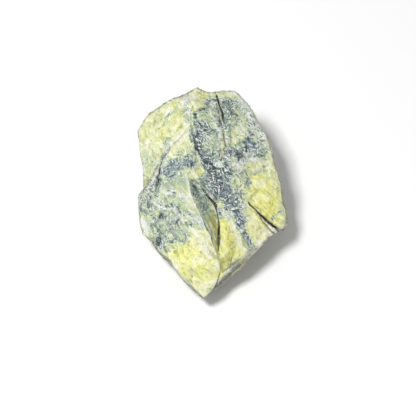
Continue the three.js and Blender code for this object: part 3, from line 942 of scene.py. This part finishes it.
def stretched(at, sizes):
    """The same place, but with each axis measured in its own unit of so many mm."""
    return node("ShaderNodeMapping", {"vector_type": "TEXTURE"}, Vector=at, Scale=sizes).outputs[0]


def centred(value, gain):
    """A noise's middle moved to 0, and its swing made larger."""
    return number("MULTIPLY", number("SUBTRACT", value, 0.5), gain)


def brushed(at, cells_per_mm, long, thin, lean, spread):
    """Noise in strokes of long by thin mm, leaning by lean degrees and spread to either side."""
    cell = node("ShaderNodeTexVoronoi", Vector=at, Scale=cells_per_mm)
    random = node("ShaderNodeSeparateXYZ", Vector=cell.outputs["Color"]).outputs["X"]
    turn = number("ADD", centred(random, 2 * math.radians(spread)), math.radians(-lean))
    turned = node("ShaderNodeVectorRotate", {"rotation_type": "Z_AXIS"}, Vector=at, Angle=turn)
    return noise(stretched(turned.outputs[0], (long, thin, thin)), 1.0, 0, 0.5).outputs["Fac"]


patchy = noise(ragged, 0.42, 2, 0.6).outputs["Fac"]
clots = noise(ragged, 1.1, 1, 0.5).outputs["Fac"]
lively = measured("lively")
needles = brushed(wavy, 0.42, NEEDLE_LONG, NEEDLE_THIN, NEEDLE_LEAN, NEEDLE_SPREAD)
specks = noise(ragged, 2.3, 1, 0.7).outputs["Fac"]
felt = number("ADD", centred(needles, 1.0), centred(specks, 0.7))
felt = number("MULTIPLY", felt, lively)
print("felt laid:", len(tree.nodes), "nodes")

# %% [markdown]
# ## Hairs
#
# Single needles, longer and curved, cross the felt. A noise passes through its middle value
# along thin winding lines, so how near it is to the middle makes a hair: a wide limit gives
# a thick one. The patches of two other noises keep them from covering everything.

# %% Hairs
def hairs(at, per_mm, half_width):
    """Thin curved lines, 1 on the line: where a noise crosses its middle."""
    winding = noise(at, per_mm, 1, 0.5, 0.6).outputs["Fac"]
    crossing = number("ABSOLUTE", number("SUBTRACT", winding, 0.5))
    return fade(crossing, 0, half_width, 1.0, 0.0)


pale_hairs = number("MULTIPLY", hairs(wavy, 0.5, 0.04), fade(patchy, 0.4, 0.55))
dark_hairs = number("MULTIPLY", hairs(ragged, 0.34, 0.022), fade(clots, 0.6, 0.45))
print("hairs laid:", len(tree.nodes), "nodes")

# %% [markdown]
# ## The yellow-green ground
#
# Most of the stone is a pale yellow-green, in smears and streaks a few millimetres long. How light
# it is comes from one sum of noises, the tone, which every colour of the stone then reads. The
# colours are ramps, from dark to light, and given as they are read off a screen.

# %% Tone
BRIGHTNESS = 0.87


def paint(red, green, blue):
    """A colour as it is read off a screen, 0 to 255, as the light it stands for."""
    return (*[((c / 255 + 0.055) / 1.055) ** 2.4 * BRIGHTNESS for c in (red, green, blue)], 1)


def ramp(value, *stops):
    made = node("ShaderNodeValToRGB", Fac=value)
    made.color_ramp.elements[0].position = stops[0][0]
    made.color_ramp.elements[0].color = paint(*stops[0][1])
    made.color_ramp.elements[1].position = stops[-1][0]
    made.color_ramp.elements[1].color = paint(*stops[-1][1])
    for place, colour in stops[1:-1]:
        made.color_ramp.elements.new(place).color = paint(*colour)
    return made.outputs["Color"]


cloud = noise(in_face, 0.22, 2, 0.55).outputs["Fac"]
smears = brushed(wavy, 0.1, 6.0, 1.2, -54, 22)
streaks = brushed(wavy, 0.16, 3.4, 0.4, -54, 26)
mottle = noise(ragged, 0.75, 2, 0.6).outputs["Fac"]
tone = number("ADD", centred(cloud, 0.9), number("MULTIPLY", felt, 0.4))
tone = number("ADD", tone, centred(mottle, 0.6))
tone = number("ADD", tone, number("ADD", centred(smears, 1.2), centred(streaks, 0.7)))
tone = number("ADD", number("MULTIPLY", tone, fade(lively, 0, 1, 0.4, 1.0)), 0.5)
tone = number("ADD", tone, number("MULTIPLY", pale_hairs, 0.2))
print("tone laid:", len(tree.nodes), "nodes")

# %% [markdown]
# ## Pale yellow, deep yellow and cream
#
# Where it is freshest the yellow is deeper all over, so there are two ramps, and the strokes say
# where the second one takes over. A noise roughens that, and no deep yellow comes through
# the mineral. Cream lies on top, and on a few facets that face away from the lamp it is painted light.

# %% Yellow ground
def mix(share, under, over):
    made = node("ShaderNodeMix", {"data_type": "RGBA"})
    for place, value in ((0, share), (6, under), (7, over)):
        plug(made.inputs[place], value)
    return made.outputs[2]


pale_yellow = ramp(
    tone, (0.0, (158, 167, 130)), (0.25, (199, 206, 160)), (0.5, (222, 226, 171)),
    (0.72, (236, 238, 192)), (1.0, (250, 250, 236)),
)
deep_yellow = ramp(
    tone, (0.0, (176, 176, 98)), (0.25, (219, 219, 126)), (0.5, (236, 235, 136)),
    (0.72, (246, 245, 156)), (1.0, (252, 251, 204)),
)
uneven = noise(ragged, 0.3, 1).outputs["Fac"]
deep = number("MULTIPLY", measured("deep_yellow"), number("ADD", centred(uneven, 1.8), 1.0))
deep = number("ADD", number("ADD", deep, centred(uneven, 1.0)), centred(smears, -1.0))
deep = number("SUBTRACT", deep, number("MULTIPLY", measured("growth"), 0.7), clamp=True)
yellow = mix(deep, pale_yellow, deep_yellow)
cream_and_painted_light = ramp(tone, (0.0, (186, 184, 150)), (0.5, (236, 235, 202)), (1.0, (252, 251, 240)))
# cream, partly painted light
cream_and_painted_light_share = number("MULTIPLY", measured("cream_and_painted_light"), fade(mottle, 0.3, 0.55, 0.45, 0.9), clamp=True)
yellow = mix(cream_and_painted_light_share, yellow, cream_and_painted_light)
print("yellow ground laid")

# %% [markdown]
# ## The blue-grey mineral, on the face and off it
#
# On the broad face the amount is what the strokes say, and on the other sides a broad noise
# decides. Two finer noises break it up. As the amount grows the stone goes from a
# greenish tinge through sage and grey-green to navy, which is one ramp. There are two of it,
# a greener and a bluer one, and the blue strokes and a slow noise choose between them.

# %% Amount and colour of blue-grey
elsewhere = fade(noise(wavy, 0.1, 2, 0.55).outputs["Fac"], 0.4, 0.68, 0.0, 0.75)
growth = node("ShaderNodeMix", {"data_type": "FLOAT"})
for place, value in ((0, on_face), (2, elsewhere), (3, measured("growth"))):
    plug(growth.inputs[place], value)
growth = growth.outputs[0]
amount = number("ADD", number("ADD", growth, centred(patchy, 0.9)), centred(clots, 0.65))
amount = number("SUBTRACT", amount, number("MULTIPLY", felt, 0.4))
greener = ramp(
    amount, (0.2, (208, 218, 164)), (0.36, (187, 203, 162)), (0.5, (162, 180, 158)),
    (0.64, (133, 151, 142)), (0.78, (102, 119, 118)), (0.9, (76, 92, 96)), (1.0, (54, 69, 78)),
)
bluer = ramp(
    amount, (0.2, (216, 222, 186)), (0.36, (196, 206, 186)), (0.5, (170, 182, 176)),
    (0.64, (138, 153, 155)), (0.78, (104, 119, 127)), (0.9, (78, 92, 104)), (1.0, (55, 67, 84)),
)
hue = number("ADD", measured("blue"), centred(noise(in_face, 0.3, 2).outputs["Fac"], 1.6), clamp=True)
mineral = mix(hue, greener, bluer)
mineral_share = fade(amount, 0.1, 0.32)
colour = mix(mineral_share, yellow, mineral)
print("blue-grey placed:", len(tree.nodes), "nodes")

# %% [markdown]
# ## Skins over the stone
#
# The sides were open to the weather for longer than the face, and have a thin grey-brown skin. Along
# the lower right rim the same grey-brown is painted shade. The olive breaks, partly painted shade,
# the beige stain, the sage-green skin and the bleached white are laid over that, each with a ramp
# that reads the tone, so that the streaks run on through all of them. Noises let the stone show
# through the skins and the painted shade.

# %% Weathered skin and painted shade, olive, beige, sage and bleached
weathered_and_shaded = ramp(
    tone, (0.0, (80, 81, 66)), (0.4, (134, 135, 115)), (0.7, (172, 172, 152)), (1.0, (214, 213, 196)),
)
skin_and_shade_cover = fade(noise(wavy, 0.16, 2).outputs["Fac"], 0.34, 0.56, 0.55, 0.95)
colour = mix(number("MULTIPLY", measured("side"), skin_and_shade_cover, clamp=True), colour, weathered_and_shaded)

olive = ramp(tone, (0.0, (156, 157, 84)), (0.5, (216, 216, 128)), (1.0, (238, 237, 168)))
# olive, partly painted shade
colour = mix(number("MULTIPLY", measured("olive"), 0.9), colour, olive)

beige = ramp(
    tone, (0.0, (150, 144, 122)), (0.4, (196, 190, 164)), (0.7, (222, 216, 190)), (1.0, (246, 242, 226)),
)
stain = number("MULTIPLY", measured("beige"), fade(patchy, 0.35, 0.55, 0.3, 1.0))
colour = mix(stain, colour, beige)

sage_green = ramp(
    tone, (0.0, (126, 140, 124)), (0.3, (160, 174, 150)), (0.6, (184, 197, 166)), (1.0, (220, 228, 200)),
)
colour = mix(number("MULTIPLY", measured("sage"), fade(felt, -0.3, 0)), colour, sage_green)

chalky = ramp(
    tone, (0.0, (160, 169, 172)), (0.4, (202, 209, 204)), (0.7, (224, 229, 222)), (1.0, (250, 251, 248)),
)
bleaching = number("ADD", measured("bleached"), centred(patchy, 0.7))
bleaching = number("MULTIPLY", fade(bleaching, 0.25, 0.6), fade(felt, -0.22, 0.0))
colour = mix(bleaching, colour, chalky)
print("skins laid:", len(tree.nodes), "nodes")

# %% [markdown]
# ## Light and dark needles
#
# The palest part of the felt turns nearly white and the darkest nearly navy, most of all where
# there is mineral, and less on the weathered sides and the painted shade of the lower right rim.
# A slow noise keeps them crisper in some places than in others. The hairs go over them.

# %% Needles and hairs
on_mineral = fade(amount, 0.15, 0.5, 0.2, 1.0)
crisp = fade(noise(in_face, 0.22, 1).outputs["Fac"], 0.35, 0.6, 0.6, 1.0)
clear_of_skin_and_shade = fade(measured("side"), 0, 1, 1.0, 0.4)
pale_needles = number("MULTIPLY", on_mineral, number("MULTIPLY", crisp, clear_of_skin_and_shade))
pale_needles = number("MULTIPLY", fade(felt, 0.08, 0.22), pale_needles)
dark_needles = number("MULTIPLY", fade(felt, -0.08, -0.24), fade(amount, 0.15, 0.6, 0.05, 0.9))
dark_needles = number("MULTIPLY", dark_needles, crisp)
colour = mix(dark_needles, colour, paint(72, 86, 92))
colour = mix(pale_needles, colour, paint(246, 249, 240))

hair_strength = number("MULTIPLY", on_mineral, 0.7)
colour = mix(number("MULTIPLY", pale_hairs, hair_strength), colour, paint(240, 244, 238))
colour = mix(number("MULTIPLY", dark_hairs, hair_strength), colour, paint(70, 82, 92))
print("needles laid:", len(tree.nodes), "nodes")

# %% [markdown]
# ## Flecks and lines
#
# White flecks are round dots in the cells of a Voronoi texture: each cell's own random number says
# how large its dot is, and in half of them that is less than nothing. Last come the drawn lines,
# broken up by the specks.

# %% Flecks and lines
flecks = node("ShaderNodeTexVoronoi", Vector=wavy, Scale=0.9)
fleck_size = node("ShaderNodeSeparateXYZ", Vector=flecks.outputs["Color"]).outputs["Y"]
fleck = number("SUBTRACT", centred(fleck_size, 0.5), flecks.outputs["Distance"])
colour = mix(number("MULTIPLY", fade(fleck, -0.06, 0.04), 0.6), colour, paint(250, 251, 244))

# navy lines, partly painted shade
navy_and_shade_lines = number("MULTIPLY", measured("dark_and_shade_line"), fade(specks, 0.3, 0.5, 0.5, 0.95))
colour = mix(navy_and_shade_lines, colour, paint(46, 54, 56))
# white lines, partly painted highlights
white_and_highlight_lines = number("MULTIPLY", measured("light_and_highlight_line"), fade(specks, 0.6, 0.42, 0.35, 1.0))
colour = mix(white_and_highlight_lines, colour, paint(244, 247, 240))
print("flecks and lines laid:", len(tree.nodes), "nodes")

# %% [markdown]
# ## Bruises, dust and painted shade
#
# The measured edges turn a chalky white, but only here and there, so a noise thins them.
# The hollows take an olive-brown dust and painted shade, and the deepest cracks are painted nearly
# black, as shade.

# %% Bruised edges, and dust and painted shade in hollows
bruise = number("MULTIPLY", measured("edge"), fade(patchy, 0.38, 0.55))
chalk = ramp(tone, (0.0, (206, 211, 192)), (1.0, (250, 251, 244)))
# dust and painted shade for the hollows and cracks
dust_and_shade = ramp(measured("hollow"), (0.3, (112, 110, 76)), (0.75, (56, 54, 30)), (1.0, (20, 19, 8)))
colour = mix(number("MULTIPLY", bruise, 0.7), colour, chalk)
colour = mix(number("MULTIPLY", measured("hollow"), 0.92), colour, dust_and_shade)
print("bruised and dusted:", len(tree.nodes), "nodes")

# %% [markdown]
# ## Waxy gloss and the finest grain
#
# The yellow stone is waxy, and the needles are duller. What is too fine for the mesh is left
# to a Bump node: it tilts the light and not the surface.

# %% Gloss and bump
gloss = node("ShaderNodeMix", {"data_type": "FLOAT"})
for place, value in ((0, mineral_share), (2, fade(felt, -0.3, 0.3, 0.42, 0.6)), (3, 0.66)):
    plug(gloss.inputs[place], value)
bump = node("ShaderNodeBump", Height=felt, Strength=0.42, Distance=0.2 * MM)
plug(surface.inputs["Base Color"], colour)
plug(surface.inputs["Roughness"], gloss.outputs[0])
plug(surface.inputs["Normal"], bump.outputs[0])
surface.inputs["Specular IOR Level"].default_value = 0.25
stone.data.materials.append(stone_finish)
print("nodes:", len(tree.nodes))

# %% [markdown]
# ## Floor and light
#
# A pale floor and one large soft lamp from the upper left, with a bright surround, give the
# even, high-key light of a catalogue picture. The lamp is large so that its shadows are soft.

# %% Floor
FLOOR_SIZE = 4

bpy.ops.object.select_all(action="DESELECT")
bpy.ops.mesh.primitive_plane_add(size=FLOOR_SIZE)
floor = bpy.context.object
floor.name = "floor"
paper = bpy.data.materials.new("pale paper")
paper.use_nodes = True
sheet = paper.node_tree.nodes["Principled BSDF"]
sheet.inputs["Base Color"].default_value = (0.93, 0.93, 0.93, 1)
sheet.inputs["Roughness"].default_value = 0.9
floor.data.materials.append(paper)
print("floor, m:", FLOOR_SIZE)

# %% Lamp and surround
LAMP_DISTANCE = 0.7
LAMP_SIZE = 0.16
LAMP_POWER = 4.0
SURROUND = 0.42

towards_lamp = (-0.34 * ACROSS + 0.34 * UP + 0.88 * OUT).normalized()
bpy.ops.object.light_add(type="AREA", location=FACE_MIDDLE + towards_lamp * LAMP_DISTANCE)
lamp = bpy.context.object
lamp.name = "softbox"
lamp.rotation_mode = "QUATERNION"
lamp.rotation_quaternion = towards_lamp.to_track_quat("Z", "Y")
lamp.data.size = LAMP_SIZE
lamp.data.energy = LAMP_POWER

surround = bpy.data.worlds.new("bright surround")
bpy.context.scene.world = surround
surround.use_nodes = True
sky = surround.node_tree.nodes["Background"]
sky.inputs["Color"].default_value = (1, 1, 1, 1)
sky.inputs["Strength"].default_value = SURROUND
bpy.context.scene.view_settings.view_transform = "Standard"
print("lamp, W:", LAMP_POWER, "surround:", SURROUND)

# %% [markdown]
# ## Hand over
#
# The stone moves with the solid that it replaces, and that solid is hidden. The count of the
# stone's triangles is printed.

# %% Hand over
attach(stone, "root")
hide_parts("serpentine_rock")
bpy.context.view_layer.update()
triangles = sum(len(face.vertices) - 2 for face in stone.data.polygons)
print("triangles:", triangles)
